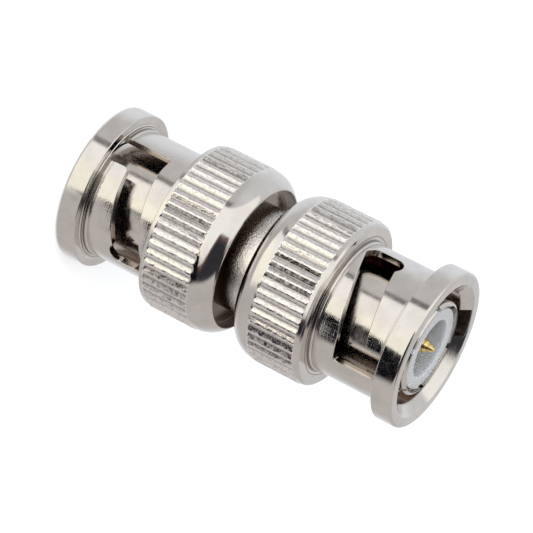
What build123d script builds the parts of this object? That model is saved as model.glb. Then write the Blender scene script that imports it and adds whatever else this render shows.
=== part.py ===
from build123d import *
import math
import os

# A coaxial adapter with a bayonet plug at each end. It stands on its lower mouth, with its axis on Z.
# Sizes are in millimetres. A station is a distance along the axis from a plug's own mouth.

# Slotted contact body
contact_bore = 3.5
contact_wall = 0.48
contact_setback = 0.38
lip_rise = 0.11
lip_length = 0.62
finger_relief = 0.08
finger_relief_length = 4.6
slit_width = 0.4
slit_length = 3.5
slit_pairs = 3
slit_turn = 18.0
hub_rise = 0.12
hub_edge = 0.08

# Insulator and centre pin
insulator_setback = 0.5
recess_radius = 2.47
recess_depth = 5.2
recess_edge = 0.12
pin_radius = 0.675
pin_setback = 0.17
pin_tip_angle = 25.0
pin_tip_round = 0.15
shank_rise = 0.325
shoulder_rise = 0.5
shoulder_length = 2.0

# Nut mouth and flange
barrel_room = 0.96
mouth_chamfer = 0.82
flange_rise = 1.155
flange_length = 1.85
flange_corner = 0.32
flange_back_edge = 0.1
cove_radius = 0.53

# Bayonet cam, cut through the nut's sleeve as two windows
sleeve_wall = 0.63
lug_groove_depth = 0.76
lug_slot_width = 2.53
slot_corner = 0.25
track_setback = 1.79
track_width = 2.44
ramp_rise = 1.3
ramp_curve = 1.5
cam_pull = 0.86
detent_radius = 1.05
detent_run = 1.15
detent_turn = 90.0
crest_round = 0.35
track_back_curve = 1.6
cam_sections = 9

# Knurled head of the nut
head_setback = 0.55
head_length = 6.6
head_cove = 0.42
knurl_rise = 1.63
front_bevel_length = 0.15
front_bevel_rise = 0.22
front_round_length = 0.3
front_round_rise = 0.13
rear_round_length = 1.85
rear_round_rise = 1.05
rear_round_bulge = 0.35
rear_land = 0.1
counterbore_depth = 0.93
web_thickness = 1.12
knurl_count = 50
knurl_groove_width = 0.41
knurl_groove_depth = 0.28
knurl_flank_angle = 18.0
knurl_runout = 0.03

# What holds the nut on: snap ring, flat washers, wave springs and gasket
ring_thickness = 0.45
ring_seat_depth = 0.3
ring_play = 0.05
ring_wall = 0.93
ring_gap_angle = 40.0
washer_thickness = 0.25
spring_height = 0.59
spring_thickness = 0.2
spring_waves = 3
gasket_length = 1.0

# Middle collar and the gap that shows it
nut_gap = 2.0
collar_wall = 0.45
collar_edge = 0.05

# Clearances
running_clearance = 0.08
press_line = 0.01
slide_fit = 0.02
bore_play = 0.14
seat_air = 0.01

# Turn of each nut as it was photographed: the angle of a lug entry in the plug's own frame
nut_turn = {"lower": 237.0, "upper": 54.7}

# Radii that follow
tube_radius = contact_bore + contact_wall
hub_radius = tube_radius + hub_rise
lip_radius = tube_radius + lip_rise
web_bore = hub_radius + running_clearance
bore_radius = tube_radius + barrel_room
sleeve_radius = bore_radius + sleeve_wall
flange_radius = sleeve_radius + flange_rise
groove_radius = bore_radius + lug_groove_depth
knurl_radius = sleeve_radius + knurl_rise
rear_radius = knurl_radius - rear_round_rise
collar_radius = hub_radius + press_line + collar_wall
washer_radius = bore_radius - bore_play
shank_radius = pin_radius + shank_rise
shoulder_radius = shank_radius + shoulder_rise

# Stations that follow
track_front = flange_length + track_setback
track_back = track_front + track_width
detent_front = track_front + cam_pull
detent_back = detent_front + 2 * detent_radius + detent_run
head_front = detent_back + head_setback
nut_length = head_front + head_length
web_back = nut_length - counterbore_depth
web_front = web_back - web_thickness
spring_back = web_front - washer_thickness
spring_front = spring_back - 2 * spring_height
ring_back = spring_front - washer_thickness
ring_front = ring_back - ring_thickness
gasket_front = ring_front - gasket_length
middle = nut_length + nut_gap / 2
adapter_length = 2 * middle
recess_floor = insulator_setback + recess_depth


def turned(outline, turn=360):
    """Revolve a closed outline of (radius, station) lines and arcs about the axis."""
    return revolve(Plane.XZ * make_face(outline), Axis.Z, turn)


def ring(inner, outer, front, back, turn=360):
    """A plain ring between two radii and two stations."""
    return turned(Polyline((inner, front), (outer, front), (outer, back), (inner, back), close=True), turn)


def polar(radius, angle, station=0.0):
    """The point at a radius, an angle in degrees and a station."""
    return Vector(radius * math.cos(math.radians(angle)), radius * math.sin(math.radians(angle)), station)


def nut_body():
    """The nut as it leaves the lathe: flange, sleeve, head, bore, web and counterbore."""
    cove = min(cove_radius, 0.8 * (flange_rise - flange_back_edge))
    bevel_radius = knurl_radius - front_round_rise
    bevel_station = head_front + front_bevel_length
    round_front = bevel_station + front_round_length
    round_back = nut_length - rear_round_length
    outline = [
        Line((bore_radius + mouth_chamfer, 0), (flange_radius - flange_corner, 0)),
        RadiusArc((flange_radius - flange_corner, 0), (flange_radius, flange_corner), -flange_corner),
        Polyline(
            (flange_radius, flange_corner),
            (flange_radius, flange_length - flange_back_edge),
            (flange_radius - flange_back_edge, flange_length),
            (sleeve_radius + cove, flange_length),
        ),
        RadiusArc((sleeve_radius + cove, flange_length), (sleeve_radius, flange_length + cove), cove),
        Line((sleeve_radius, flange_length + cove), (sleeve_radius, head_front - head_cove)),
        RadiusArc((sleeve_radius, head_front - head_cove), (sleeve_radius + head_cove, head_front), head_cove),
        Polyline(
            (sleeve_radius + head_cove, head_front),
            (bevel_radius - front_bevel_rise, head_front),
            (bevel_radius, bevel_station),
            (knurl_radius, round_front),
            (knurl_radius, round_back),
        ),
        ThreePointArc(
            (knurl_radius, round_back),
            (knurl_radius - rear_round_bulge, (round_back + nut_length) / 2 + rear_round_bulge / 2),
            (rear_radius, nut_length),
        ),
        Polyline(
            (rear_radius, nut_length),
            (rear_radius - rear_land, nut_length),
            (rear_radius - rear_land, web_back),
            (web_bore, web_back),
            (web_bore, web_front),
            (bore_radius, web_front),
            (bore_radius, mouth_chamfer),
            (bore_radius + mouth_chamfer, 0),
        ),
    ]
    return turned(outline)


def cam_section(share):
    """The lug track's section at a share of the way from the lug entry to the detent."""
    angle = share * detent_turn
    front = track_front + ramp_rise * share**ramp_curve
    back = track_back + (detent_back - track_back) * share**track_back_curve
    plane = Plane(origin=(0, 0, 0), x_dir=polar(1, angle), z_dir=polar(1, angle - 90))
    centre = Pos((tube_radius + flange_radius) / 2, (front + back) / 2)
    return plane * centre * Rectangle(flange_radius - tube_radius, back - front)


def edge_near(shape, angle, station):
    """The edge whose middle lies nearest a point of the cam's wall."""
    spot = polar((bore_radius + flange_radius) / 2, angle, station)
    return shape.edges().sort_by(lambda edge: (edge.center() - spot).length)[0]


def cam_window():
    """One bayonet window: a straight lug entry, a ramp of growing pitch and a drilled detent."""
    depth = flange_radius - tube_radius
    entry = Pos((tube_radius + flange_radius) / 2, 0, (flange_length + track_back) / 2) * Box(
        depth, lug_slot_width, track_back - flange_length
    )
    entry = fillet(entry.edges().filter_by(Axis.X).group_by(Axis.Z)[-1], slot_corner)
    ramp = loft([cam_section(i / cam_sections) for i in range(cam_sections + 1)])
    seat = Plane(
        origin=polar(tube_radius, detent_turn, (detent_front + detent_back) / 2),
        x_dir=(0, 0, 1),
        z_dir=polar(1, detent_turn),
    )
    detent = extrude(seat * SlotCenterToCenter(detent_run, 2 * detent_radius), depth)
    window = entry + ramp + detent
    entry_angle = math.degrees(lug_slot_width / 2 / sleeve_radius)
    crest_angle = detent_turn - math.degrees(detent_radius * 0.8 / sleeve_radius)
    crest_station = track_front + ramp_rise * (crest_angle / detent_turn) ** ramp_curve
    window = fillet(edge_near(window, crest_angle, crest_station), crest_round)
    return fillet(edge_near(window, entry_angle, track_front), slot_corner)


def knurl_groove():
    """One groove of the straight knurl: a flat floor with sloping flanks and sloping ends."""
    flank = knurl_groove_depth * math.tan(math.radians(knurl_flank_angle))
    start = head_front + front_bevel_length + front_round_length + knurl_runout
    end = nut_length - rear_round_length - knurl_runout
    floor = Plane(
        origin=polar(knurl_radius - knurl_groove_depth, 0, (start + end) / 2),
        x_dir=(0, 0, 1),
        z_dir=(1, 0, 0),
    )
    plan = Rectangle(end - start - 2 * flank, knurl_groove_width - 2 * flank)
    return extrude(floor * plan, 2 * knurl_groove_depth, taper=-knurl_flank_angle)


def coupling_nut(turn):
    """The whole nut, with its lug entries turned to an angle."""
    nut = nut_body()
    window = cam_window()
    groove = knurl_groove()
    key = Pos(groove_radius / 2, 0, flange_length / 2) * Box(groove_radius, lug_slot_width, flange_length)
    key = key & Cylinder(groove_radius, 3 * flange_length)
    nut -= [Rot(0, 0, angle) * shape for shape in (window, key) for angle in (0, 180)]
    nut -= [Rot(0, 0, i * 360 / knurl_count) * groove for i in range(knurl_count)]
    return Rot(0, 0, turn) * nut


def contact_body():
    """The turned half body: rounded lip, thin spring fingers, hub with the snap ring's groove."""
    tip = contact_setback
    relief_radius = contact_bore + finger_relief
    relief_back = tip + finger_relief_length
    crown = (relief_radius + tube_radius) / 2
    outline = [
        Line((relief_radius, tip + lip_length / 2), (relief_radius, relief_back)),
        Polyline(
            (relief_radius, relief_back),
            (contact_bore, relief_back + finger_relief),
            (contact_bore, middle),
            (hub_radius, middle),
            (hub_radius, ring_back + ring_play),
            (hub_radius - ring_seat_depth, ring_back + ring_play),
            (hub_radius - ring_seat_depth, ring_front),
            (hub_radius, ring_front),
            (hub_radius, gasket_front + hub_edge),
            (hub_radius - hub_edge, gasket_front),
            (tube_radius, gasket_front),
            (tube_radius, tip + lip_length),
        ),
        ThreePointArc((tube_radius, tip + lip_length), (lip_radius, tip + lip_length / 2), (crown, tip)),
        ThreePointArc(
            (crown, tip),
            (relief_radius + finger_relief / 2, tip + lip_length / 8),
            (relief_radius, tip + lip_length / 2),
        ),
    ]
    saw = Pos(0, 0, tip + slit_length / 2) * Box(3 * lip_radius, slit_width, slit_length)
    cuts = [Rot(0, 0, slit_turn + i * 180 / slit_pairs) * saw for i in range(slit_pairs)]
    return turned(outline) - cuts


def insulator():
    """The dielectric sleeve: a socket recess in front and a pocket for the pin's shoulder behind."""
    outer = contact_bore - press_line
    shank_hole = shank_radius + slide_fit
    pocket_radius = shoulder_radius + slide_fit
    pocket_floor = middle - shoulder_length / 2 - slide_fit
    return turned(
        Polyline(
            (recess_radius + recess_edge, insulator_setback),
            (outer, insulator_setback),
            (outer, middle),
            (pocket_radius, middle),
            (pocket_radius, pocket_floor),
            (shank_hole, pocket_floor),
            (shank_hole, recess_floor),
            (recess_radius, recess_floor),
            (recess_radius, insulator_setback + recess_edge),
            close=True,
        )
    )


def center_pin():
    """The pin: a point at each end, a shank inside the insulators and a shoulder at the middle."""
    flare = math.radians(pin_tip_angle)
    tip_radius = pin_tip_round * math.cos(flare)
    tip_back = pin_setback + pin_tip_round * (1 - math.sin(flare))
    cone_back = tip_back + (pin_radius - tip_radius) / math.tan(flare)
    nose_angle = (math.pi / 2 - flare) / 2
    nose = (pin_tip_round * math.sin(nose_angle), pin_setback + pin_tip_round * (1 - math.cos(nose_angle)))
    shoulder_front = middle - shoulder_length / 2
    half = turned(
        [
            ThreePointArc((0, pin_setback), nose, (tip_radius, tip_back)),
            Polyline(
                (tip_radius, tip_back),
                (pin_radius, cone_back),
                (pin_radius, recess_floor),
                (shank_radius, recess_floor),
                (shank_radius, shoulder_front),
                (shoulder_radius, shoulder_front),
                (shoulder_radius, middle),
                (0, middle),
                (0, pin_setback),
            ),
        ]
    )
    return half + flip * half


def wave_washer(front, phase):
    """A wavy spring ring behind a station. The phase says where round the ring its crests lie."""
    swing = (spring_height - spring_thickness) / 2 - seat_air
    low = front + seat_air + swing
    rims = []
    for radius in (web_bore, washer_radius):
        steps = 8 * spring_waves
        points = []
        for i in range(steps):
            angle = 360 * i / steps
            lift = swing * math.cos(math.radians(spring_waves * angle + phase))
            points.append(polar(radius, angle, low + lift))
        rims.append(Edge.make_spline(points, periodic=True))
    sheet = Face.make_surface_from_curves(rims[0], rims[1])
    return extrude(sheet, spring_thickness, dir=(0, 0, 1))


def plug(turn):
    """Every piece of one plug, in its own frame with its mouth at station 0."""
    snap_radius = hub_radius - ring_seat_depth + slide_fit
    spring_middle = spring_front + spring_height
    return {
        "coupling_nut": coupling_nut(turn),
        "contact_body": contact_body(),
        "insulator": insulator(),
        "gasket": ring(hub_radius + press_line, washer_radius - slide_fit, gasket_front, ring_front),
        "retaining_ring": ring(snap_radius, snap_radius + ring_wall, ring_front, ring_back, 360 - ring_gap_angle),
        "thrust_washer": ring(web_bore, washer_radius, ring_back, spring_front),
        "wave_washer_outer": wave_washer(spring_front, 0),
        "wave_washer_inner": wave_washer(spring_middle, 180),
        "slip_washer": ring(web_bore, washer_radius, spring_back, web_front),
    }


# The upper plug is the lower one turned over end for end
flip = Pos(0, 0, adapter_length) * Rot(180, 0, 0)
place = {"lower": Pos(0, 0, 0), "upper": flip}

nodes = {"center_pin": center_pin()}
collar = ring(hub_radius + press_line, collar_radius, web_back, adapter_length - web_back)
collar_rims = collar.edges().filter_by(GeomType.CIRCLE).sort_by(SortBy.RADIUS)[-2:]
nodes["center_sleeve"] = chamfer(collar_rims, collar_edge)
for side in ("lower", "upper"):
    for name, solid in plug(nut_turn[side]).items():
        nodes[f"{name}_{side}"] = place[side] * solid

os.makedirs("parts", exist_ok=True)
for name, solid in nodes.items():
    export_step(solid, f"parts/{name}.step")
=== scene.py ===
import math

import bpy
import numpy as np
from mathutils import Matrix, Vector, noise
from mathutils.geometry import tessellate_polygon


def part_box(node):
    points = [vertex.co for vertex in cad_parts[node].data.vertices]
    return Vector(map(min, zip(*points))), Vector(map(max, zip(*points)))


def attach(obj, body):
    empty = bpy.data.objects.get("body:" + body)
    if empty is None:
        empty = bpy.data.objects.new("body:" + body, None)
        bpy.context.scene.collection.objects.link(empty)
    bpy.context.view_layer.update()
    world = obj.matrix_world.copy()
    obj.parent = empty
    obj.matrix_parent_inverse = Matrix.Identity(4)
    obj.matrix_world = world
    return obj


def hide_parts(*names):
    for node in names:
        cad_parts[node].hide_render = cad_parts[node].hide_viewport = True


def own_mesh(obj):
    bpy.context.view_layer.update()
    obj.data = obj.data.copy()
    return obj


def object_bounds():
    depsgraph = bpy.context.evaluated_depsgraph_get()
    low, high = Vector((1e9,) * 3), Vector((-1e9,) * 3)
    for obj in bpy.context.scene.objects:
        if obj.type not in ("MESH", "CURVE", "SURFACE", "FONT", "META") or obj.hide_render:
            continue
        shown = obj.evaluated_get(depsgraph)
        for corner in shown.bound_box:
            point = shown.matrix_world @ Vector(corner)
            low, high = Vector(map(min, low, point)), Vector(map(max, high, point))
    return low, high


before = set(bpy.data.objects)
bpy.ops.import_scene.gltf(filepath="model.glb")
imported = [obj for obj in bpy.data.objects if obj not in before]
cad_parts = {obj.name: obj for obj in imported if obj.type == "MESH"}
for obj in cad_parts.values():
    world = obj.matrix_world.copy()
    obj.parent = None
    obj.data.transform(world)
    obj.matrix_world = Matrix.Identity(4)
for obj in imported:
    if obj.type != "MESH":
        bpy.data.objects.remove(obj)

# The finish and the fine edges of a coaxial adapter with a bayonet plug at each end.
# Each dense piece is built in millimetres in its plug's own frame, where a station is the
# distance from that plug's mouth, and is then laid over the node that it replaces.

cad_low, cad_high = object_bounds()
millimetre = 0.001

# Sizes that the parts in model.glb give
nut_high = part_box("coupling_nut_lower")[1]
contact_low, contact_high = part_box("contact_body_lower")
insulator_low, insulator_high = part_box("insulator_lower")
pin_low, pin_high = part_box("center_pin")
collar_low, collar_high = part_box("center_sleeve")
gasket_low, gasket_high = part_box("gasket_lower")
ring_low, ring_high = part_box("retaining_ring_lower")
slip_low, slip_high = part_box("slip_washer_lower")
adapter_length = cad_high.z / millimetre
middle = adapter_length / 2
knurl_radius = nut_high.x / millimetre
nut_length = nut_high.z / millimetre
hub_radius = contact_high.x / millimetre
contact_front = contact_low.z / millimetre
insulator_radius = insulator_high.x / millimetre
insulator_front = insulator_low.z / millimetre
shoulder_radius = pin_high.x / millimetre
pin_front = pin_low.z / millimetre
collar_radius = collar_high.x / millimetre
web_back = collar_low.z / millimetre
web_front = slip_high.z / millimetre
gasket_radius = gasket_high.x / millimetre
gasket_front = gasket_low.z / millimetre
ring_front = ring_low.z / millimetre
ring_back = ring_high.z / millimetre

# The nut's turned outline
bore_radius = 4.94
sleeve_radius = 5.57
flange_radius = 6.725
flange_length = 1.85
flange_corner = 0.24
flange_back_edge = 0.09
cove_radius = 0.53
cove_rim = sleeve_radius + cove_radius
cove_lines = 3
head_cove = 0.42
head_cove_lines = 2
tool_line_depth = 0.08
tool_line_steps = 6
mouth_chamfer = 0.82
head_front = 8.3
front_bevel = (6.85, 7.07, 0.15)  # inner radius, outer radius and length
ridge_front = 8.75
ridge_back = 13.05
rear_arc = ((7.12, ridge_back), (6.83, 14.15), (6.15, 14.9))  # three (radius, station) points
rear_land = 0.1
rear_bore = rear_arc[-1][0] - rear_land
web_bore = 4.18
fine_edge = 0.05
sleeve_fade = (6.4, 5.9)  # radii over which the head's finish gives way to the sleeve's
crease_angle = 40.0

# The straight knurl
ridge_count = 50
ridge_pitch = 2 * math.pi / ridge_count
half_ridge = ridge_pitch * knurl_radius / 2
flank_angle = 27.0
flank_columns = (0.3, 0.52)  # shares of half a ridge
crest_width = 0.13
crest_lead = 0.06
valley_width = 0.05
ridge_rise = 0.08
ridge_lead = 0.01
ridge_runout = 0.12
runout_steps = 4
ridge_rows = 28
ridge_wear = 0.03
wear_grain = 3.5
ridge_raggedness = 0.02
ragged_grain = 6
ragged_shift = Vector((40, 0, 0))
grain_stretch = 2

# The bayonet cam
lug_slot_width = 2.53
lug_groove_radius = 5.7
lug_groove_root = 3.0
lug_groove_span = (-1.0, flange_length + 0.1)
slot_corner = 0.25
window_front = flange_length + 0.004
track_front = 3.64
track_back = 6.08
ramp_rise = 1.3
ramp_curve = 1.5
track_back_rise = 1.67
track_back_curve = 1.6
detent_radius = 1.05
detent_front = 5.55
detent_back = 6.7
crest = (0.715, 4.784)  # distance from the detent's middle, and station
crest_round = 0.3
crest_stages = 3
cam_stages = 24
entry_clearance = 0.3
arc_steps = 8
edge_round = 0.09
edge_degrees = (0, 22, 44, 65)
cutter_reach = 2.2

# The slotted contact, the insulator and the pin
tube_radius = 3.98
contact_bore = 3.5
relief_radius = 3.58
relief_back = 4.98
lip_radius = 4.09
lip_length = 0.62
nose_step = 0.04
ring_seat_radius = 3.8
ring_play = 0.05
contact_edge = 0.03
gasket_seat_edge = 0.08
face_edge = 0.02
slit_width = 0.4
slit_back = 3.88
slit_overrun = 0.5
slit_stages = 12
slit_pairs = 3
slit_turn = 18.0
recess_radius = 2.47
recess_floor = 5.7
recess_edge = 0.12
insulator_edge = 0.1
pin_radius = 0.675
shank_radius = 1.0
shoulder_length = 2.0
pin_tip_angle = 25.0
pin_tip_round = 0.21
pin_cone_edge = 0.25
pin_core = 0.001
tip_steps = 5
seat_clearance = 0.02
press_line = 0.01
gasket_edge = 0.12

# The two wave springs of each nut
washer_radius = 4.8
spring_thickness = 0.2
spring_waves = 3
spring_edge = 0.03
spring_phase = {"outer": 0.0, "inner": math.pi}

# Columns round each plain turned piece
contact_columns = 360
insulator_columns = 180
pin_columns = 96
ring_columns = 240

# How far each nut is turned, as the angle of its first lug entry in degrees
nut_turn = {"lower": 237.0, "upper": 54.7}

# The photograph's camera, fitted to the rims of the two nuts
camera_elevation = math.radians(20.68)
axis_slope = math.radians(27.02)
camera_distance = 244.27
camera_drift = (-0.033, -0.123)
lens_length = 206.8
sensor_width = 36.0

# The stage, in metres
floor_radius = 0.5
floor_gap = 0.00002
cards_radius = 0.6

# The photograph's right, down and forward directions in the row frame
image_right = Vector((
    -math.sin(axis_slope),
    math.sin(camera_elevation) * math.cos(axis_slope),
    math.cos(camera_elevation) * math.cos(axis_slope),
))
image_down = Vector((
    math.cos(axis_slope),
    math.sin(camera_elevation) * math.sin(axis_slope),
    math.cos(camera_elevation) * math.sin(axis_slope),
))
image_forward = Vector((0, math.cos(camera_elevation), -math.sin(camera_elevation)))


def corner(radius, station, fillet=0.0, share=0.0):
    """One corner of a turned outline: its fillet, and its share of the knurl's depth."""
    return (radius, station, fillet, share)


def rounded(corners, steps=3):
    """The closed outline through the corners, as (radius, station, share) rows, with arcs at the fillets."""
    rows = []
    for i, (radius, station, fillet, share) in enumerate(corners):
        here = Vector((radius, station))
        if fillet == 0:
            rows.append((radius, station, share))
            continue
        back = (Vector(corners[i - 1][:2]) - here).normalized()
        ahead = (Vector(corners[(i + 1) % len(corners)][:2]) - here).normalized()
        half = back.angle(ahead) / 2
        centre = here + (back + ahead).normalized() * fillet / math.sin(half)
        start = here + back * fillet / math.tan(half) - centre
        end = here + ahead * fillet / math.tan(half) - centre
        for k in range(steps + 1):
            spoke = start.lerp(end, k / steps).normalized() * fillet
            rows.append((centre.x + spoke.x, centre.y + spoke.y, share))
    return rows


def arc_through(first, second, third, steps=12):
    """Corners along the arc through three (radius, station) points."""
    a, b, c = (complex(*point) for point in (first, second, third))
    w = (c - a) / (b - a)
    centre = (b - a) * (w - abs(w) ** 2) / (2j * w.imag) + a
    reach = abs(a - centre)
    start = math.atan2((a - centre).imag, (a - centre).real)
    sweep = math.atan2((c - centre).imag, (c - centre).real) - start
    spots = []
    for k in range(steps + 1):
        angle = start + sweep * k / steps
        spots.append(corner(centre.real + reach * math.cos(angle), centre.imag + reach * math.sin(angle)))
    return spots


def lined_cove(radius, station, reach, lines, towards):
    """Corners of a cove about a centre, with the fine lines that the turning tool left in it."""
    steps = tool_line_steps * lines
    spots = []
    for k in range(steps + 1):
        angle = math.pi / 2 * k / steps
        deep = reach + tool_line_depth * abs(math.sin(math.pi * lines * k / steps))
        spots.append(corner(radius - deep * math.sin(angle), station + towards * deep * math.cos(angle)))
    return spots if towards < 0 else spots[::-1]


def revolve(name, rows, angles, relief=None):
    """A closed solid of revolution, with a column at each angle and an optional relief of the radius."""
    radius, station, share = (np.array(column)[:, None] for column in zip(*rows))
    turn = np.array(angles)[None, :]
    radii = radius + 0 * turn
    if relief is not None:
        radii = radii - relief(turn + 0 * radius, station + 0 * turn, share + 0 * turn)
    places = (radii * np.cos(turn), radii * np.sin(turn), station + 0 * turn)
    points = np.stack(places, axis=-1).reshape(-1, 3)
    count, columns = len(rows), len(angles)
    i, j = np.meshgrid(np.arange(count), np.arange(columns), indexing="ij")
    after, beside = (i + 1) % count, (j + 1) % columns
    row, row_after = i * columns, after * columns
    faces = np.stack((row + j, row + beside, row_after + beside, row_after + j), axis=-1)
    mesh = bpy.data.meshes.new(name)
    mesh.from_pydata(points.tolist(), [], faces.reshape(-1, 4).tolist())
    mesh.update()
    return mesh


def even_angles(count):
    """Column angles for a plain turned piece."""
    return [2 * math.pi * k / count for k in range(count)]


def grown(outline, growth):
    """A flat outline moved outwards by a growth along its corners' normals."""
    spots = []
    for i, here in enumerate(outline):
        along = Vector(outline[(i + 1) % len(outline)]) - Vector(outline[i - 1])
        across = Vector((along.y, -along.x)).normalized()
        spots.append((here[0] + across.x * growth, here[1] + across.y * growth))
    return spots


def stacked(name, stacks):
    """Closed solids, each through a stack of loops with equal numbers of points, capped at both ends."""
    points, faces = [], []
    for loops, cap in stacks:
        base, count = len(points), len(loops[0])
        for loop in loops:
            points += loop
        for k in range(len(loops) - 1):
            low = base + k * count
            high = low + count
            for i in range(count):
                beside = (i + 1) % count
                faces.append((low + i, low + beside, high + beside, high + i))
        faces += [tuple(base + index for index in reversed(triangle)) for triangle in cap]
        faces += [tuple(high + index for index in triangle) for triangle in cap]
    mesh = bpy.data.meshes.new(name)
    mesh.from_pydata(points, [], faces)
    mesh.update()
    return mesh


def cap_of(outline):
    """The triangles that fill a flat outline."""
    return tessellate_polygon([[Vector((x, y, 0)) for x, y in outline]])


def rolled(loop, turn):
    """The x, y and z of a loop of (radius, angle, station) points, turned about the axis."""
    return [(r * math.cos(turn + a), r * math.sin(turn + a), station) for r, a, station in loop]


def cutter(name, levels, outline, lift, turns, front=-math.inf):
    """Cutters through a wall: a loop of points for each level, once for each turn."""
    loops = []
    for radius, growth, lifted in levels:
        loop = []
        for along, station in grown(outline(radius), growth):
            station = max(station, front)
            loop.append((radius + lifted * lift(station), along / radius, station))
        loops.append(loop)
    cap = cap_of([(angle, station) for _, angle, station in loops[0]])
    return stacked(name, [([rolled(loop, turn) for loop in loops], cap) for turn in turns])


def carve(mesh, tools):
    """The mesh with each tool's solid taken away."""
    body = bpy.data.objects.new(mesh.name, mesh)
    bpy.context.scene.collection.objects.link(body)
    helpers = []
    for tool in tools:
        helper = bpy.data.objects.new(tool.name, tool)
        bpy.context.scene.collection.objects.link(helper)
        helpers.append(helper)
        cut = body.modifiers.new(tool.name, "BOOLEAN")
        cut.operation = "DIFFERENCE"
        cut.solver = "MANIFOLD"
        cut.object = helper
    bpy.context.view_layer.update()
    carved = bpy.data.meshes.new_from_object(body.evaluated_get(bpy.context.evaluated_depsgraph_get()))
    for used in [body, *helpers]:
        bpy.data.objects.remove(used)
    return carved


def flare(inner, outer):
    """A cutter's levels through a wall, as (radius, growth, share of the lift), that round its edges."""
    levels = [(inner - fine_edge, 2 * fine_edge, 0), (inner + fine_edge, 0.0, 0)]
    for degrees in edge_degrees:
        swing = math.radians(degrees)
        levels.append((outer - edge_round * (1 - math.sin(swing)), edge_round * (1 - math.cos(swing)), 1))
    radius, growth, _ = levels[-1]
    rise = edge_round / 2
    levels.append((radius + rise, growth + rise * math.tan(swing), 1))
    levels.append((cutter_reach * outer, growth + rise * math.tan(swing), 1))
    return levels


def cove_lift(station):
    """How far the sleeve's surface rises into the cove behind the flange."""
    short = min(max(flange_length + cove_radius - station, 0.0), cove_radius)
    return cove_radius - math.sqrt(cove_radius**2 - short**2)


def detent_corner(radius, centre, swing):
    """A corner on the round end of the detent about a station, unrolled at a radius."""
    across = radius * math.asin(detent_radius * math.sin(swing) / radius)
    return corner(radius * math.pi / 2 + across, centre + detent_radius * math.cos(swing))


def window_outline(radius):
    """The cam window's outline at a radius, unrolled: a lug entry, a ramp and a detent."""
    half = radius * math.asin(lug_slot_width / 2 / radius)
    seat = radius * math.pi / 2
    corners = [corner(-half, window_front), corner(-half, track_back, slot_corner)]
    for k in range(cam_stages):
        share = k / cam_stages
        corners.append(corner(seat * share, track_back + track_back_rise * share**track_back_curve))
    corners += [detent_corner(radius, detent_back, math.pi / 2 * k / arc_steps) for k in range(arc_steps + 1)]
    corners += [detent_corner(radius, detent_front, math.radians(degrees)) for degrees in range(90, 220, 10)]
    crest_across, crest_station = crest
    corners.append(corner(seat - radius * math.asin(crest_across / radius), crest_station, crest_round))
    for k in range(cam_stages - crest_stages, 0, -1):
        share = k / cam_stages
        if seat * share > half + entry_clearance:
            corners.append(corner(seat * share, track_front + ramp_rise * share**ramp_curve))
    entry_share = half / seat
    corners.append(corner(half, track_front + ramp_rise * entry_share**ramp_curve, slot_corner))
    corners.append(corner(half, window_front))
    return [(along, station) for along, station, _ in rounded(corners)][::-1]


def lug_groove_tool():
    """Cutters for the two lug grooves in the flange's bore, which open at the mouth."""
    half = lug_slot_width / 2
    edge = math.asin(half / lug_groove_radius)
    angles = [2 * edge * k / arc_steps - edge for k in range(arc_steps + 1)]
    flat = [(lug_groove_radius * math.cos(angle), lug_groove_radius * math.sin(angle)) for angle in angles]
    flat += [(lug_groove_root, half), (lug_groove_root, -half)]
    cap = cap_of(flat)
    stacks = []
    for side in (1, -1):
        loops = [[(side * x, side * y, station) for x, y in flat] for station in lug_groove_span]
        stacks.append((loops, cap))
    return stacked("lug_groove_tool", stacks)


def ridge_angles():
    """Column angles of the nut: twelve for each ridge, closer together at its crest and valley."""
    shoulder = half_ridge - crest_width / 2
    flank = [half_ridge * share for share in flank_columns]
    side = [valley_width / 2, *flank, shoulder - crest_lead, shoulder]
    offsets = [-x for x in reversed(side)] + [0.0] + side + [half_ridge]
    return [k * ridge_pitch + offset / knurl_radius for k in range(ridge_count) for offset in offsets]


def ridge_relief(turn, station, share):
    """How far the knurl lies below its outer radius: V-shaped grooves between worn, ragged crests."""
    across = np.abs((turn + ridge_pitch / 2) % ridge_pitch - ridge_pitch / 2) * knurl_radius
    wear, ragged = np.zeros(turn.shape), np.zeros(turn.shape)
    for index in zip(*np.nonzero(share > 0)):
        x, y = knurl_radius * math.cos(turn[index]), knurl_radius * math.sin(turn[index])
        spot = Vector((x, y, station[index] / grain_stretch))
        wear[index] = abs(noise.noise(spot * wear_grain))
        ragged[index] = noise.noise(spot * ragged_grain + ragged_shift)
    flank = half_ridge - (crest_width + valley_width) / 2
    climbed = np.clip((across - valley_width / 2) / flank, 0, 1)
    groove = flank * math.tan(math.radians(flank_angle)) * (1 - climbed)
    return share * (groove + ridge_wear * wear * climbed + ridge_raggedness * (ragged + 1) / 2)


def knurl_corners():
    """Corners along the knurl, closer together at both ends, where its grooves run out."""
    ends = [ridge_runout * k / runout_steps for k in range(runout_steps + 1)]
    spread = (ridge_back - ridge_front - 2 * ridge_runout) / ridge_rows
    stations = [ridge_front + reach for reach in ends]
    stations += [ridge_front + ridge_runout + spread * k for k in range(1, ridge_rows)]
    stations += [ridge_back - reach for reach in ends[::-1]]
    corners = []
    for station in stations:
        fade = min(1.0, min(station - ridge_front, ridge_back - station) / ridge_runout)
        fade = fade * fade * (3 - 2 * fade)
        corners.append(corner(knurl_radius - ridge_rise * (1 - fade), station, 0.0, fade))
    return corners


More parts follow.
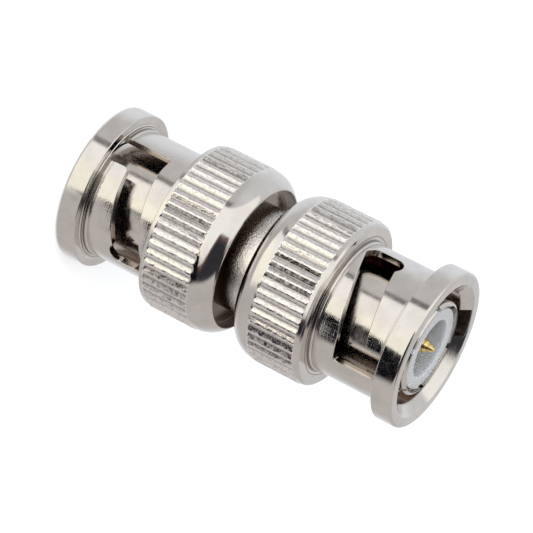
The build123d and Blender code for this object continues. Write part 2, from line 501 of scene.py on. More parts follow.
def nut_mesh():
    """The coupling nut: turned outline, straight knurl, two cam windows and two lug grooves."""
    bevel_inner, bevel_outer, bevel_length = front_bevel
    corners = [
        corner(bore_radius + mouth_chamfer, 0, fine_edge),
        corner(flange_radius, 0, flange_corner),
        corner(flange_radius, flange_length, flange_back_edge),
    ]
    corners += lined_cove(cove_rim, flange_length + cove_radius, cove_radius, cove_lines, -1)
    corners += lined_cove(sleeve_radius + head_cove, head_front - head_cove, head_cove, head_cove_lines, 1)
    corners += [
        corner(bevel_inner, head_front, fine_edge),
        corner(bevel_outer, head_front + bevel_length, fine_edge),
        corner(knurl_radius - ridge_rise, ridge_front - ridge_lead),
    ]
    corners += knurl_corners()
    corners += arc_through(*rear_arc)[1:]
    corners += [
        corner(rear_bore, nut_length, fine_edge / 2),
        corner(rear_bore, web_back, fine_edge),
        corner(web_bore, web_back, fine_edge),
        corner(web_bore, web_front, fine_edge),
        corner(bore_radius, web_front, fine_edge),
        corner(bore_radius, mouth_chamfer, fine_edge),
    ]
    plain = revolve("coupling_nut", rounded(corners), ridge_angles(), ridge_relief)
    levels = flare(bore_radius, sleeve_radius)
    windows = cutter("window_tool", levels, window_outline, cove_lift, (0, math.pi), window_front)
    return carve(plain, [windows, lug_groove_tool()])


def lip_lift(station):
    """How far the finger's surface rises over the lip."""
    share = (station - contact_front - lip_length / 2) / (lip_length / 2)
    return (lip_radius - tube_radius) * max(0.0, 1 - share * share)


def slit_outline(radius):
    """One slit between two fingers, unrolled. It is the same width at every radius."""
    half = slit_width / 2
    stations = [contact_front + lip_length * 2 * k / slit_stages for k in range(slit_stages)]
    corners = [corner(-half, -slit_overrun)]
    corners += [corner(-half, station) for station in stations]
    corners += [corner(-half, slit_back, contact_edge), corner(half, slit_back, contact_edge)]
    corners += [corner(half, station) for station in stations[::-1]]
    corners.append(corner(half, -slit_overrun))
    return [(along, station) for along, station, _ in rounded(corners, 2)][::-1]


def contact_mesh():
    """The turned half body: rounded lip, slotted spring fingers and hub."""
    crown = (relief_radius + tube_radius) / 2
    back = contact_front + lip_length
    swell = contact_front + lip_length / 2
    lip = arc_through((tube_radius, back), (lip_radius, swell), (crown, contact_front))
    bend = (relief_radius + nose_step, contact_front + lip_length / 8)
    nose = arc_through((crown, contact_front), bend, (relief_radius, swell), steps=6)
    corners = nose[1:] + [
        corner(relief_radius, relief_back),
        corner(contact_bore, relief_back + relief_radius - contact_bore),
        corner(contact_bore, middle, face_edge),
        corner(hub_radius, middle, face_edge),
        corner(hub_radius, ring_back + ring_play, contact_edge),
        corner(ring_seat_radius, ring_back + ring_play, contact_edge),
        corner(ring_seat_radius, ring_front, contact_edge),
        corner(hub_radius, ring_front, contact_edge),
        corner(hub_radius, gasket_front, gasket_seat_edge),
        corner(tube_radius, gasket_front, contact_edge),
    ]
    corners += lip
    plain = revolve("contact_body", rounded(corners), even_angles(contact_columns))
    turns = [math.radians(slit_turn) + math.pi * k / slit_pairs for k in range(2 * slit_pairs)]
    slits = cutter("slit_tool", flare(relief_radius, tube_radius), slit_outline, lip_lift, turns)
    return carve(plain, [slits])


def insulator_mesh():
    """The dielectric sleeve with its socket recess and the pocket for the pin's shoulder."""
    shank_hole = shank_radius + seat_clearance
    pocket = shoulder_radius + seat_clearance
    pocket_floor = middle - shoulder_length / 2 - seat_clearance
    corners = [
        corner(recess_radius, insulator_front, recess_edge),
        corner(insulator_radius, insulator_front, insulator_edge),
        corner(insulator_radius, middle, face_edge),
        corner(pocket, middle, face_edge),
        corner(pocket, pocket_floor, face_edge),
        corner(shank_hole, pocket_floor, face_edge),
        corner(shank_hole, recess_floor, face_edge),
        corner(recess_radius, recess_floor, insulator_edge),
    ]
    return revolve("insulator", rounded(corners), even_angles(insulator_columns))


def pin_mesh():
    """The centre pin: a pointed tip at each end, two shanks and the shoulder between them."""
    flare_angle = math.radians(pin_tip_angle)
    tip_radius = pin_tip_round * math.cos(flare_angle)
    tip_back = pin_front + pin_tip_round * (1 - math.sin(flare_angle))
    cone_back = tip_back + (pin_radius - tip_radius) / math.tan(flare_angle)
    half = [corner(pin_core, pin_front)]
    for k in range(1, tip_steps + 1):
        swing = (math.pi / 2 - flare_angle) * k / tip_steps
        rise = pin_tip_round * (1 - math.cos(swing))
        half.append(corner(pin_tip_round * math.sin(swing), pin_front + rise))
    half += [
        corner(pin_radius, cone_back, pin_cone_edge),
        corner(pin_radius, recess_floor, face_edge),
        corner(shank_radius, recess_floor, face_edge),
        corner(shank_radius, middle - shoulder_length / 2, face_edge),
        corner(shoulder_radius, middle - shoulder_length / 2, contact_edge),
    ]
    other = [(radius, adapter_length - station, *rest) for radius, station, *rest in half[::-1]]
    return revolve("center_pin", rounded(half + other), even_angles(pin_columns))


def ring_mesh(name, inner, outer, front, back, fillet):
    """A ring between two radii and two stations, with rounded edges."""
    corners = [
        corner(inner, front, fillet),
        corner(outer, front, fillet),
        corner(outer, back, fillet),
        corner(inner, back, fillet),
    ]
    return revolve(name, rounded(corners), even_angles(ring_columns))


def spring_mesh(which):
    """One wave spring: a flat ring that swings up and down a few times on its way round."""
    low, high = (spot.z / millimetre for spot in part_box(f"wave_washer_{which}_lower"))
    swing = (high - low - spring_thickness) / 2
    back = low + spring_thickness
    made = ring_mesh(f"wave_spring_{which}", web_bore, washer_radius, low, back, spring_edge)
    for vertex in made.vertices:
        around = math.atan2(vertex.co.y, vertex.co.x)
        vertex.co.z += swing * (1 + math.cos(spring_waves * around + spring_phase[which]))
    made.update()
    return made


def placed(side, turn=0.0):
    """The matrix from a plug's own frame in millimetres to the row frame in metres."""
    matrix = Matrix.Rotation(math.radians(turn), 4, "Z")
    if side == "upper":
        matrix = Matrix.Translation((0, 0, adapter_length)) @ Matrix.Rotation(math.pi, 4, "X") @ matrix
    return Matrix.Scale(millimetre, 4) @ matrix


def turned_normals(mesh):
    """Normals that follow the turned surface round the axis, smooth but for its creases."""
    faces, corners = len(mesh.polygons), len(mesh.loops)
    normal, centre = np.empty(3 * faces), np.empty(3 * faces)
    area, total = np.empty(faces), np.empty(faces, dtype=int)
    mesh.polygons.foreach_get("normal", normal)
    mesh.polygons.foreach_get("center", centre)
    mesh.polygons.foreach_get("area", area)
    mesh.polygons.foreach_get("loop_total", total)
    normal, centre = normal.reshape(-1, 3), centre.reshape(-1, 3)
    turn = np.arctan2(centre[:, 1], centre[:, 0])
    outward = normal[:, 0] * np.cos(turn) + normal[:, 1] * np.sin(turn)
    around = normal[:, 1] * np.cos(turn) - normal[:, 0] * np.sin(turn)
    local = np.stack((outward, around, normal[:, 2]), axis=-1)

    vertex = np.empty(corners, dtype=int)
    mesh.loops.foreach_get("vertex_index", vertex)
    owner = np.repeat(np.arange(faces), total)
    order = np.argsort(vertex, kind="stable")
    first = np.searchsorted(vertex[order], np.arange(len(mesh.vertices)))
    rank = np.arange(corners) - first[vertex[order]]
    most = int(rank.max()) + 1
    meeting = np.full((len(mesh.vertices), most), -1)
    meeting[vertex[order], rank] = owner[order]
    weight = np.where(meeting >= 0, area[meeting], 0.0)
    around_vertex = local[meeting]
    own = local[owner[order]]
    near = np.einsum("ci,cmi->cm", own, around_vertex[vertex[order]]) > math.cos(math.radians(crease_angle))
    summed = np.einsum("cm,cmi->ci", near * weight[vertex[order]], around_vertex[vertex[order]])
    summed /= np.linalg.norm(summed, axis=1)[:, None]

    spots = np.empty(3 * len(mesh.vertices))
    mesh.vertices.foreach_get("co", spots)
    spots = spots.reshape(-1, 3)[vertex[order]]
    turn = np.arctan2(spots[:, 1], spots[:, 0])
    custom = np.empty((corners, 3))
    custom[order, 0] = summed[:, 0] * np.cos(turn) - summed[:, 1] * np.sin(turn)
    custom[order, 1] = summed[:, 0] * np.sin(turn) + summed[:, 1] * np.cos(turn)
    custom[order, 2] = summed[:, 2]
    mesh.shade_smooth()
    mesh.normals_split_custom_set(custom.tolist())


def piece(name, mesh, matrix, material, body, node):
    """A dense piece that stands for a node and rides on its body."""
    made = bpy.data.objects.new(name, mesh.copy())
    bpy.context.scene.collection.objects.link(made)
    made.data.transform(matrix)
    made.data.materials.clear()
    made.data.materials.append(material)
    turned_normals(made.data)
    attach(made, body)
    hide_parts(node)
    return made


def node(tree, kind, inputs=None, output=0, **settings):
    """Add a shader node, set its properties and its inputs, and return one of its outputs."""
    made = tree.nodes.new(kind)
    for name, value in settings.items():
        setattr(made, name, value)
    for key, value in (inputs or {}).items():
        if isinstance(value, bpy.types.NodeSocket):
            tree.links.new(value, made.inputs[key])
        else:
            made.inputs[key].default_value = value
    return made.outputs[output]


def combine(tree, operation, first, second=0.0):
    """A math node of two values."""
    return node(tree, "ShaderNodeMath", {0: first, 1: second}, operation=operation)


def both(tree, first, second):
    """The product of two values."""
    return combine(tree, "MULTIPLY", first, second)


def minus(tree, first, second):
    """One value less another."""
    return combine(tree, "SUBTRACT", first, second)


def line(tree, value, factor, offset):
    """A value times a factor, plus an offset."""
    return node(tree, "ShaderNodeMath", {0: value, 1: factor, 2: offset}, operation="MULTIPLY_ADD")


def ramp(tree, value, start, end, low=0.0, high=1.0):
    """A value mapped smoothly from one range to another."""
    sockets = {"Value": value, "From Min": start, "From Max": end, "To Min": low, "To Max": high}
    return node(tree, "ShaderNodeMapRange", sockets, interpolation_type="SMOOTHSTEP")


def band(tree, value, rise, fall):
    """A mask that rises over one span of a value and falls over another."""
    return both(tree, ramp(tree, value, *rise), ramp(tree, value, *fall))


def mix(tree, share, first, second):
    """Two colours mixed by a share."""
    return node(tree, "ShaderNodeMix", {0: share, 6: first, 7: second}, output=2, data_type="RGBA")


def shade(red, green, blue):
    """An opaque colour."""
    return (red, green, blue, 1.0)


def fresh_material(name):
    """A material with an empty node tree and its output node."""
    made = bpy.data.materials.new(name)
    made.use_nodes = True
    made.node_tree.nodes.clear()
    return made, made.node_tree, made.node_tree.nodes.new("ShaderNodeOutputMaterial")


def object_millimetres(tree):
    """The place on the object in millimetres, and its distance from the axis."""
    spot = node(tree, "ShaderNodeTexCoord", output=3)
    scaled = node(tree, "ShaderNodeVectorMath", {0: spot, "Scale": 1 / millimetre}, operation="SCALE")
    flat = node(tree, "ShaderNodeVectorMath", {0: scaled, 1: (1, 1, 0)}, operation="MULTIPLY")
    away = node(tree, "ShaderNodeVectorMath", {0: flat}, output=1, operation="LENGTH")
    return scaled, away


def coordinate(tree, place, index):
    """One coordinate of a place."""
    return node(tree, "ShaderNodeSeparateXYZ", {0: place}, output=index)


def middle_gap(tree, place):
    """The distance along the axis from the adapter's middle."""
    return combine(tree, "ABSOLUTE", minus(tree, coordinate(tree, place, 2), middle))


def noise_of(tree, place, scale, detail=3.0, roughness=0.5):
    """Fractal noise at a scale in cells for each millimetre."""
    sockets = {"Vector": place, "Scale": scale, "Detail": detail, "Roughness": roughness}
    return node(tree, "ShaderNodeTexNoise", sockets)


def turning_lines(tree, place, away, scale):
    """Fine rings that a lathe leaves, on cylinders and on faces alike."""
    height = coordinate(tree, place, 2)
    ring_place = node(tree, "ShaderNodeCombineXYZ", {0: away, 2: height})
    return noise_of(tree, ring_place, scale, 2.0)


def bumped(tree, height, strength, distance, normal=None):
    """A bump from a height, on top of another one where that is given."""
    sockets = {"Height": height, "Strength": strength, "Distance": distance}
    if normal is not None:
        sockets["Normal"] = normal
    return node(tree, "ShaderNodeBump", sockets)


def metal(made, tone, gloss, normal):
    """Finish a fresh material as bare or plated metal."""
    material, tree, output = made
    sockets = {"Base Color": tone, "Metallic": 1.0, "Roughness": gloss, "Normal": normal}
    tree.links.new(node(tree, "ShaderNodeBsdfPrincipled", sockets), output.inputs[0])
    return material


def plating(tree, place, bright, dull, smooth, rough):
    """The cloudy, sparsely pitted tone of nickel plating, and its roughness."""
    cloud = noise_of(tree, place, 0.55, 4.0, 0.6)
    specks = ramp(tree, noise_of(tree, place, 8.0, 2.0), 0.64, 0.74)
    tone = mix(tree, ramp(tree, cloud, 0.35, 0.68), bright, dull)
    tone = mix(tree, both(tree, specks, 0.25), tone, shade(0.36, 0.33, 0.30))
    return tone, ramp(tree, noise_of(tree, place, 2.3, 4.0), 0.35, 0.7, smooth, rough)


def nickel(name, bright, dull, smooth, rough, lines):
    """Plain bright plating with fine turning lines."""
    made = fresh_material(name)
    tree = made[1]
    place, away = object_millimetres(tree)
    tone, gloss = plating(tree, place, bright, dull, smooth, rough)
    normal = bumped(tree, turning_lines(tree, place, away, 9.0), lines, 0.00002)
    normal = bumped(tree, noise_of(tree, place, 9.0, 2.0, 0.5), 0.1, 0.00003, normal)
    return metal(made, tone, gloss, normal)


def with_knurl_grit_and_shade(tree, place, away, station, tone, normal):
    """The tone and the normal with the knurl's pale, grainy skin and painted shade in its grooves."""
    front, back = (ridge_front - 0.04, ridge_front + 0.02), (ridge_back + 0.04, ridge_back - 0.02)
    knurl = band(tree, station, front, back)
    stretched = node(tree, "ShaderNodeVectorMath", {0: place, 1: (1, 1, 0.6)}, operation="MULTIPLY")
    normal = bumped(tree, noise_of(tree, stretched, 8.0, 3.0, 0.6), both(tree, knurl, 0.4), 0.00003, normal)
    tone = mix(tree, both(tree, knurl, 0.9), tone, shade(0.98, 0.968, 0.955))
    grain = both(tree, knurl, ramp(tree, noise_of(tree, stretched, 6.5, 3.0, 0.65), 0.5, 0.6))
    tone = mix(tree, both(tree, grain, 0.5), tone, shade(0.48, 0.455, 0.43))
    # Painted shade: the knurl's valleys are darkened where the ridges would shade them.
    valley = ramp(tree, away, knurl_radius - 0.12, knurl_radius - 0.17)
    valley_shade = both(tree, both(tree, valley, knurl), 0.45)
    return mix(tree, valley_shade, tone, shade(0.26, 0.235, 0.215)), normal


def with_painted_cove_rings(tree, place, away, station, tone):
    """The tone with painted shade: dark rings in the two coves that stand in for the shade in the turning
    tool's lines.
    """
    over_sleeve = band(tree, away, (sleeve_radius + 0.02, sleeve_radius + 0.06), (cove_rim + 0.1, cove_rim))
    along_sleeve = band(tree, station, (flange_length, flange_length + 0.04), (head_front + 0.05, head_front))
    # Painted shade: dark rings in the coves, where the tool's lines would hold shade.
    rings = ramp(tree, turning_lines(tree, place, away, 5.0), 0.42, 0.50)
    share = both(tree, both(tree, over_sleeve, along_sleeve), rings)
    return mix(tree, both(tree, share, 0.85), tone, shade(0.15, 0.12, 0.10))


def with_stain_and_painted_shade(tree, place, away, station, tone, gloss):
    """The tone and the gloss with painted shade, partly a duller brown plating, in the bore, windows, lug
    grooves and counterbore, with painted light on the counterbore's top side.
    """
    in_head = ramp(tree, station, head_front + 0.05, head_front + 0.2)
    cavity = both(tree, in_head, ramp(tree, away, rear_bore + 0.08, rear_bore + 0.06))
    in_flange = band(tree, station, (0.12, 0.2), (flange_length - 0.05, flange_length - 0.15))
    groove_gap = combine(tree, "ABSOLUTE", minus(tree, away, lug_groove_radius))
    groove = both(tree, ramp(tree, groove_gap, 0.04, 0.02), in_flange)
    bore = ramp(tree, away, bore_radius + 0.08, bore_radius + 0.04)
    behind_flange = ramp(tree, station, flange_length, flange_length + 0.1)
    window_wall = both(tree, ramp(tree, away, sleeve_radius - 0.13, sleeve_radius - 0.27), behind_flange)
    inside = combine(tree, "MAXIMUM", bore, window_wall)
    # Painted shade, partly a duller plating: the bore and the windows' walls are darkened brown.
    tone = mix(tree, both(tree, inside, 0.8), tone, shade(0.38, 0.31, 0.27))
    # Painted light: the counterbore is left lighter on its top side.
    lit_top_side = ramp(tree, coordinate(tree, place, 0), -1.0, -4.0)
    shade_kept = minus(tree, 1.0, both(tree, both(tree, lit_top_side, cavity), 0.55))
    # Painted shade: dark brown in the counterbore and the lug grooves, where shade falls.
    stain_and_shade = both(tree, both(tree, combine(tree, "MAXIMUM", cavity, groove), shade_kept), 0.93)
    tone = mix(tree, stain_and_shade, tone, shade(0.15, 0.11, 0.09))
    return tone, combine(tree, "ADD", gloss, both(tree, stain_and_shade, 0.14))


def nut_nickel():
    """The nuts' plating: turned lines on the sleeve, grit on the knurl, painted shade in the knurl's valleys
    and the coves, and painted shade, partly a duller brown plating, on the inside.
    """
    made = fresh_material("nickel_nut")
    tree = made[1]
    place, away = object_millimetres(tree)
    station = minus(tree, middle, middle_gap(tree, place))
    tones = (shade(0.80, 0.78, 0.75), shade(0.72, 0.70, 0.67))
    tone, gloss = plating(tree, place, *tones, smooth=0.06, rough=0.13)
    on_sleeve = ramp(tree, away, *sleeve_fade)
    lines = turning_lines(tree, place, away, 9.0)
    normal = bumped(tree, lines, ramp(tree, on_sleeve, 0.0, 1.0, 0.06, 0.25), 0.00002)
    normal = bumped(tree, noise_of(tree, place, 9.0, 2.0, 0.5), both(tree, on_sleeve, 0.17), 0.00003, normal)
    tone, normal = with_knurl_grit_and_shade(tree, place, away, station, tone, normal)
    tone = with_painted_cove_rings(tree, place, away, station, tone)
    tone, gloss = with_stain_and_painted_shade(tree, place, away, station, tone, gloss)
    return metal(made, tone, gloss, normal)


def collar_nickel():
    """The collar's plating: bright and grainy in the middle, with painted shade, brown, towards its ends
    where the nuts shade it.
    """
    made = fresh_material("nickel_collar")
    tree = made[1]
    place, away = object_millimetres(tree)
    cloud = noise_of(tree, place, 1.6, 4.0, 0.65)
    shaded = combine(tree, "ADD", middle_gap(tree, place), both(tree, cloud, 0.5))
    # Painted shade: the collar darkens to brown towards the nuts at its ends.
    tone = mix(tree, ramp(tree, shaded, 0.75, 1.15), shade(1.0, 0.98, 0.94), shade(0.35, 0.275, 0.21))
    specks = ramp(tree, noise_of(tree, place, 9.0, 3.0, 0.6), 0.56, 0.64)
    tone = mix(tree, both(tree, specks, 0.5), tone, shade(0.24, 0.20, 0.16))
    gloss = ramp(tree, shaded, 0.7, 1.2, 0.08, 0.22)
    normal = bumped(tree, turning_lines(tree, place, away, 9.0), 0.2, 0.00002)
    normal = bumped(tree, noise_of(tree, place, 7.0, 3.0, 0.7), 0.6, 0.00006, normal)
    return metal(made, tone, gloss, normal)


def fluoropolymer():
    """The insulator's cool white plastic, slightly cloudy and translucent."""
    material, tree, output = fresh_material("white_dielectric")
    place, away = object_millimetres(tree)
    tone = mix(tree, noise_of(tree, place, 0.8, 3.0), shade(0.41, 0.42, 0.43), shade(0.45, 0.46, 0.47))
    gloss = ramp(tree, noise_of(tree, place, 3.0), 0.3, 0.7, 0.34, 0.5)
    normal = bumped(tree, turning_lines(tree, place, away, 7.0), 0.25, 0.00003)
    sockets = {
        "Base Color": tone,
        "Roughness": gloss,
        "Normal": normal,
        "Subsurface Weight": 0.9,
        "Subsurface Radius": (0.8, 0.9, 1.0),
        "Subsurface Scale": 0.002,
        "IOR": 1.38,
    }
    surface = node(tree, "ShaderNodeBsdfPrincipled", sockets)
    tree.links.new(surface, output.inputs[0])
    return material


def gold():
    """Gold plate with fine turning scratches and darker streaks."""
    made = fresh_material("gold_plate")
    tree = made[1]
    place, away = object_millimetres(tree)
    streaks = ramp(tree, turning_lines(tree, place, away, 3.0), 0.5, 0.72)
    tone = mix(tree, streaks, shade(1.0, 0.81, 0.36), shade(0.60, 0.36, 0.10))
    gloss = ramp(tree, noise_of(tree, place, 4.0), 0.3, 0.7, 0.08, 0.22)
    normal = bumped(tree, turning_lines(tree, place, away, 9.0), 0.6, 0.00006)
    return metal(made, tone, gloss, normal)


def silicone():
    """The gasket's dark red rubber, cloudy in tone and gloss."""
    material, tree, output = fresh_material("red_silicone")
    place, _ = object_millimetres(tree)
    bloom = ramp(tree, noise_of(tree, place, 2.0), 0.35, 0.7)
    tone = mix(tree, bloom, shade(0.30, 0.03, 0.02), shade(0.20, 0.02, 0.015))
    gloss = ramp(tree, noise_of(tree, place, 5.0), 0.3, 0.7, 0.42, 0.6)
    normal = bumped(tree, noise_of(tree, place, 9.0), 0.2, 0.00003)
    sockets = {"Base Color": tone, "Roughness": gloss, "Normal": normal}
    tree.links.new(node(tree, "ShaderNodeBsdfPrincipled", sockets), output.inputs[0])
    return material


def spring_steel():
    """The hidden springs and snap rings: plain grey steel with drawn lines."""
    made = fresh_material("spring_steel")
    tree = made[1]
    place, away = object_millimetres(tree)
    tone = mix(tree, noise_of(tree, place, 1.5), shade(0.50, 0.50, 0.50), shade(0.60, 0.59, 0.57))
    gloss = ramp(tree, turning_lines(tree, place, away, 8.0), 0.3, 0.7, 0.25, 0.45)
    normal = bumped(tree, turning_lines(tree, place, away, 12.0), 0.4, 0.00004)
    return metal(made, tone, gloss, normal)


def photo_direction(tree, place):
    """A direction's share along the photograph's right, down and forward, as three values."""
    unit = node(tree, "ShaderNodeVectorMath", {0: place}, operation="NORMALIZE")
    return [
        node(tree, "ShaderNodeVectorMath", {0: unit, 1: tuple(axis)}, output=1, operation="DOT_PRODUCT")
        for axis in (image_right, image_down, image_forward)
    ]


def painted_room_tone(tree, right, down, forward):
    """The painted room that the metal mirrors: lighter at the upper right, darker at the upper left, cool and
    pale at the back.
    """
    # Painted reflection: the room's tones, lighter or darker by direction.
    upper = mix(tree, ramp(tree, right, 0.1, 0.55), shade(0.60, 0.58, 0.57), shade(0.72, 0.72, 0.73))
    upper = mix(tree, ramp(tree, right, -0.25, -0.6), upper, shade(0.53, 0.51, 0.50))
    room = mix(tree, ramp(tree, down, -0.4, 0.5), upper, shade(0.56, 0.53, 0.515))
    behind = ramp(tree, line(tree, down, -0.35, forward), 0.5, 0.95)
    return mix(tree, behind, room, shade(0.80, 0.82, 0.86))


def with_painted_softbox(tree, seen, right, down, towards_camera):
    """The room with a painted softbox beside the camera, a glow that is no lamp, creamier at its left end,
    and its painted dark upper rim.
    """
    top_edge = line(tree, right, 0.35, -0.78)
    low_edge = line(tree, combine(tree, "MINIMUM", line(tree, right, 1.0, 0.5), 0.0), 0.9, 0.5)
    under_top = ramp(tree, minus(tree, down, top_edge), 0.0, 0.06)
    over_low = ramp(tree, minus(tree, low_edge, down), 0.0, 0.3)
    # Painted reflection: a bright softbox glow beside the camera, which is no lamp.
    softbox = both(tree, both(tree, under_top, over_low), towards_camera)
    tone = mix(tree, ramp(tree, right, -0.45, -0.68), shade(1.06, 1.035, 0.985), shade(1.18, 1.12, 0.975))
    seen = mix(tree, softbox, seen, tone)
    # Painted reflection: a dark rim along the painted softbox's top.
    rim = band(tree, minus(tree, top_edge, down), (-0.03, 0.01), (0.10, 0.05))
    rim = both(tree, both(tree, rim, ramp(tree, right, 0.3, 0.0)), towards_camera)
    tone = mix(tree, ramp(tree, right, -0.15, -0.5), shade(0.22, 0.21, 0.205), shade(0.40, 0.38, 0.37))
    return mix(tree, rim, seen, tone)


def with_painted_figure(tree, seen, right, down, forward):
    """The room with a painted dark figure in front of the painted softbox, brown along its top and black at
    its left.
    """
    roof = combine(tree, "MAXIMUM", line(tree, right, 0.6, -0.204), line(tree, right, -1.0, 0.02))
    roof = combine(tree, "MAXIMUM", roof, -0.08)
    left_step = ramp(tree, right, -0.60, -0.70, 0.42, 0.04)
    right_step = ramp(tree, right, 0.5, 0.62, 0.0, -0.16)
    top_edge = combine(tree, "MINIMUM", roof, combine(tree, "ADD", left_step, right_step))
    skirt = ramp(tree, right, 0.46, 0.56, 0.0, 0.3)
    low_edge = combine(tree, "ADD", line(tree, both(tree, right, right), -0.38, 0.83), skirt)
    below_top = minus(tree, down, top_edge)
    above_low = minus(tree, low_edge, down)
    # Painted reflection: a dark figure that the metal mirrors as dark bands.
    figure = both(tree, ramp(tree, below_top, -0.02, 0.04), ramp(tree, above_low, -0.04, 0.04))
    figure = both(tree, figure, ramp(tree, forward, 0.0, -0.1))
    figure = both(tree, figure, band(tree, right, (-0.82, -0.78), (0.71, 0.64)))
    tone = mix(tree, ramp(tree, below_top, 0.02, 0.2), shade(0.20, 0.12, 0.10), shade(0.035, 0.034, 0.04))
    tone = mix(tree, ramp(tree, right, -0.45, -0.65), tone, shade(0.006, 0.006, 0.008))
    return mix(tree, figure, seen, tone)


def sphere_mesh(name, radius, rings, columns):
    """A closed sphere about its own origin."""
    points = [(0, 0, -radius), (0, 0, radius)]
    turns = even_angles(columns)
    for i in range(1, rings):
        tilt = math.pi * i / rings
        across, height = radius * math.sin(tilt), -radius * math.cos(tilt)
        points += [(across * math.cos(turn), across * math.sin(turn), height) for turn in turns]
    faces = []
    last = 2 + (rings - 2) * columns
    for j in range(columns):
        beside = (j + 1) % columns
        faces.append((0, 2 + j, 2 + beside))
        faces.append((1, last + beside, last + j))
        for low in range(2, last, columns):
            faces.append((low + j, low + columns + j, low + columns + beside, low + beside))
    mesh = bpy.data.meshes.new(name)
    mesh.from_pydata(points, [], faces)
    return mesh


def painted_reflection_room():
    """A painted reflection: a glowing sphere, no lamp, with the grey room, softbox and dark figure painted on
    it, that the metal mirrors. Only glossy rays see it.
    """
    material, tree, output = fresh_material("painted_reflection_room")
    right, down, forward = photo_direction(tree, node(tree, "ShaderNodeTexCoord", output=3))
    towards_camera = ramp(tree, forward, 0.0, -0.12)
    seen = painted_room_tone(tree, right, down, forward)
    seen = with_painted_softbox(tree, seen, right, down, towards_camera)
    seen = with_painted_figure(tree, seen, right, down, forward)
    # Painted reflection: the sphere glows with the painted room, though it is no lamp.
    glow = node(tree, "ShaderNodeEmission", {"Color": seen, "Strength": 1.0})
    tree.links.new(glow, output.inputs[0])
    material.cycles.emission_sampling = "NONE"
    mesh = sphere_mesh("painted_reflection_room", cards_radius, rings=24, columns=48)
    mesh.materials.append(material)
    made = bpy.data.objects.new("painted_reflection_room", mesh)
    made.location = (0, 0, middle * millimetre)
    bpy.context.scene.collection.objects.link(made)
    made.visible_camera = False
    made.visible_diffuse = False
    made.visible_transmission = False
    made.visible_shadow = False


def white_background():
    """A white world for what the camera and the glossy rays see, and a plain soft one for diffuse light."""
    world = bpy.data.worlds.new("white_background")
    world.use_nodes = True
    tree = world.node_tree
    tree.nodes.clear()
    rays = tree.nodes.new("ShaderNodeLightPath")
    seen = combine(tree, "MAXIMUM", rays.outputs["Is Camera Ray"], rays.outputs["Is Glossy Ray"])
    seen = combine(tree, "MAXIMUM", seen, rays.outputs["Is Transmission Ray"])
    colour = mix(tree, seen, shade(0.84, 0.85, 0.87), shade(1, 1, 1))
    glow = node(tree, "ShaderNodeBackground", {"Color": colour, "Strength": 1.0})
    output = tree.nodes.new("ShaderNodeOutputWorld")
    tree.links.new(glow, output.inputs[0])
    bpy.context.scene.world = world


def pale_floor():
    """A pale floor that shows the object's shadow and runs into the white background."""
    material, tree, output = fresh_material("pale_floor")
    place = node(tree, "ShaderNodeTexCoord", output=3)
    tone = mix(tree, noise_of(tree, place, 40.0), shade(0.93, 0.93, 0.93), shade(0.95, 0.95, 0.95))
    surface = node(tree, "ShaderNodeBsdfDiffuse", {"Color": tone})
    rays = tree.nodes.new("ShaderNodeLightPath")
    seen = combine(tree, "MAXIMUM", rays.outputs["Is Camera Ray"], rays.outputs["Is Transmission Ray"])
    lift = node(tree, "ShaderNodeEmission", {"Color": shade(1, 1, 1), "Strength": both(tree, seen, 0.16)})
    lifted = node(tree, "ShaderNodeAddShader", {0: surface, 1: lift})
    tree.links.new(lifted, output.inputs[0])
    rim = even_angles(64)
    points = [(floor_radius * math.cos(turn), floor_radius * math.sin(turn), 0) for turn in rim]
    mesh = bpy.data.meshes.new("pale_floor")
    mesh.from_pydata(points, [], [tuple(range(len(rim)))])
    mesh.materials.append(material)
    made = bpy.data.objects.new("pale_floor", mesh)
    made.location = (0, 0, -floor_gap)
    bpy.context.scene.collection.objects.link(made)
    made.visible_glossy = False


def softbox_lamp(name, direction, distance, width, height, power):
    """A rectangular soft lamp that looks at the object's middle."""
    data = bpy.data.lights.new(name, "AREA")
    data.shape = "RECTANGLE"
    data.size, data.size_y = width, height
    data.energy = power
    lamp = bpy.data.objects.new(name, data)
    centre = Vector((0, 0, middle * millimetre))
    lamp.location = centre + direction.normalized() * distance
    lamp.rotation_euler = (centre - lamp.location).to_track_quat("-Z", "Y").to_euler()
    bpy.context.scene.collection.objects.link(lamp)
    lamp.visible_glossy = False
    lamp.visible_camera = False


def photo_camera():
    """The camera at the photograph's viewing angle, rolled so that the axis runs down to the right."""
    centre = Vector((0, 0, middle))
    drift = image_right * camera_drift[0] + image_down * camera_drift[1]
    spot = (centre - drift - image_forward * camera_distance) * millimetre
    data = bpy.data.cameras.new("photo_camera")
    data.sensor_width = sensor_width
    data.lens = lens_length
    data.clip_start = 0.01
    camera = bpy.data.objects.new("photo_camera", data)
    turn = Matrix((image_right, -image_down, -image_forward)).transposed().to_4x4()
    camera.matrix_world = Matrix.Translation(spot) @ turn
    bpy.context.scene.collection.objects.link(camera)
    bpy.context.scene.camera = camera


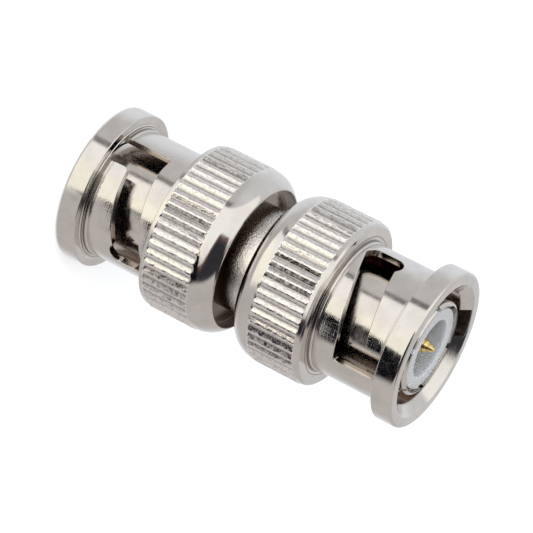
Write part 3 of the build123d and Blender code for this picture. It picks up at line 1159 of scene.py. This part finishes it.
nut_plate = nut_nickel()
contact_tones = (shade(0.82, 0.79, 0.75), shade(0.72, 0.69, 0.65))
contact_plate = nickel("nickel_contact", *contact_tones, smooth=0.13, rough=0.2, lines=0.15)
collar_plate = collar_nickel()
washer_tones = (shade(0.76, 0.74, 0.70), shade(0.66, 0.63, 0.59))
washer_plate = nickel("nickel_washer", *washer_tones, smooth=0.2, rough=0.35, lines=0.5)
insulator_white = fluoropolymer()
pin_gold = gold()
gasket_red = silicone()
spring_grey = spring_steel()

nut = nut_mesh()
contact = contact_mesh()
insulator = insulator_mesh()
sealed_radius = hub_radius + press_line
gasket = ring_mesh("gasket", sealed_radius, gasket_radius, gasket_front, ring_front, gasket_edge)
collar_back = adapter_length - web_back
collar = ring_mesh("center_sleeve", sealed_radius, collar_radius, web_back, collar_back, fine_edge)
springs = {which: spring_mesh(which) for which in spring_phase}

for side in ("lower", "upper"):
    here = placed(side)
    turned = placed(side, nut_turn[side])
    piece(f"nut_{side}", nut, turned, nut_plate, f"nut_{side}", f"coupling_nut_{side}")
    piece(f"contact_{side}", contact, here, contact_plate, "root", f"contact_body_{side}")
    piece(f"dielectric_{side}", insulator, here, insulator_white, "root", f"insulator_{side}")
    piece(f"seal_{side}", gasket, here, gasket_red, "root", f"gasket_{side}")
    for which, spring in springs.items():
        washer = f"wave_washer_{which}_{side}"
        made = piece(f"spring_{which}_{side}", spring, here, spring_grey, "root", washer)
        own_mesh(made)
piece("pin", pin_mesh(), placed("lower"), pin_gold, "root", "center_pin")
piece("collar", collar, placed("lower"), collar_plate, "root", "center_sleeve")

hidden_finish = {
    "retaining_ring": spring_grey,
    "thrust_washer": washer_plate,
    "slip_washer": washer_plate,
}
for name, finish in hidden_finish.items():
    for side in ("lower", "upper"):
        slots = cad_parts[f"{name}_{side}"].data.materials
        slots.clear()
        slots.append(finish)

photo_camera()
white_background()
pale_floor()
painted_reflection_room()
key_direction = Vector((-0.3, 0, 0.45)) - image_forward
top_direction = Vector((0.2, 0.3, 1.0))
softbox_lamp("key_softbox", key_direction, distance=0.45, width=0.4, height=0.3, power=1.1)
softbox_lamp("top_softbox", top_direction, distance=0.5, width=0.4, height=0.4, power=0.2)
bpy.context.scene.view_settings.view_transform = "Standard"
